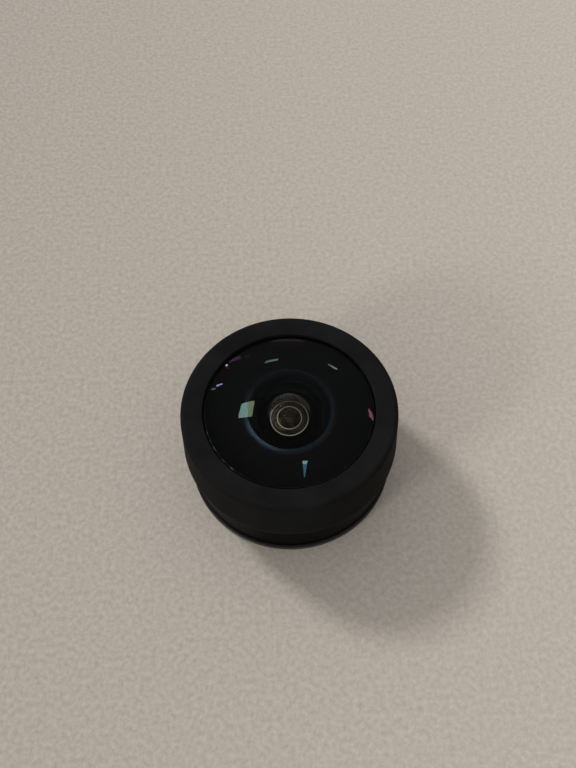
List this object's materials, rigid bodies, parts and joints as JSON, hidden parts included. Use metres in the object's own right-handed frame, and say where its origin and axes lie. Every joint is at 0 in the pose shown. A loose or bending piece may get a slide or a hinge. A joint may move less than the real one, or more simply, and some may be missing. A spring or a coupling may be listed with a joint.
{
  "type": "wide-angle camera lens",
  "caption": "Compact round wide-angle lens with a domed front glass, a plain black bezel and a threaded rear ring.",
  "frame": {"origin": "centre of the rear face that the lens stands on", "axes": "+Z along the optical axis, out of the front glass; the lens is round about Z"},
  "size_m": [0.039, 0.039, 0.023],
  "materials": {
    "bezel_black": "matte black anodised aluminium, fine blasted grain",
    "housing_black": "satin black anodised aluminium, fine turning lines",
    "foot_black": "satin black anodised aluminium with a bare-worn edge",
    "barrel_black": "matte black anodised, anti-reflection",
    "baffle_black": "dead matte black film",
    "front_glass": "polished optical glass with an anti-reflection coating",
    "inner_glass": "polished optical glass with an anti-reflection coating",
    "black_rubber": "matte black rubber",
    "screw_steel": "black-oxide steel, lightly worn at the recess"
  },
  "bodies": {
    "root": {"front_bezel": "bezel_black", "front_seal": "black_rubber", "front_element": "front_glass", "front_baffle": "baffle_black", "main_barrel": "barrel_black", "second_retainer": "barrel_black", "second_element": "inner_glass", "second_spacer": "barrel_black", "third_element": "inner_glass", "stop_spacer": "barrel_black", "stop_plate": "baffle_black", "doublet_crown": "inner_glass", "doublet_flint": "inner_glass", "rear_spacer": "barrel_black", "rear_element": "inner_glass", "rear_retainer": "barrel_black", "base_shell": "housing_black", "body_o_ring": "black_rubber", "barrel_screws": "screw_steel", "mount_ring": "foot_black", "mount_gasket": "black_rubber", "mount_screws": "screw_steel"}
  },
  "joints": []
}
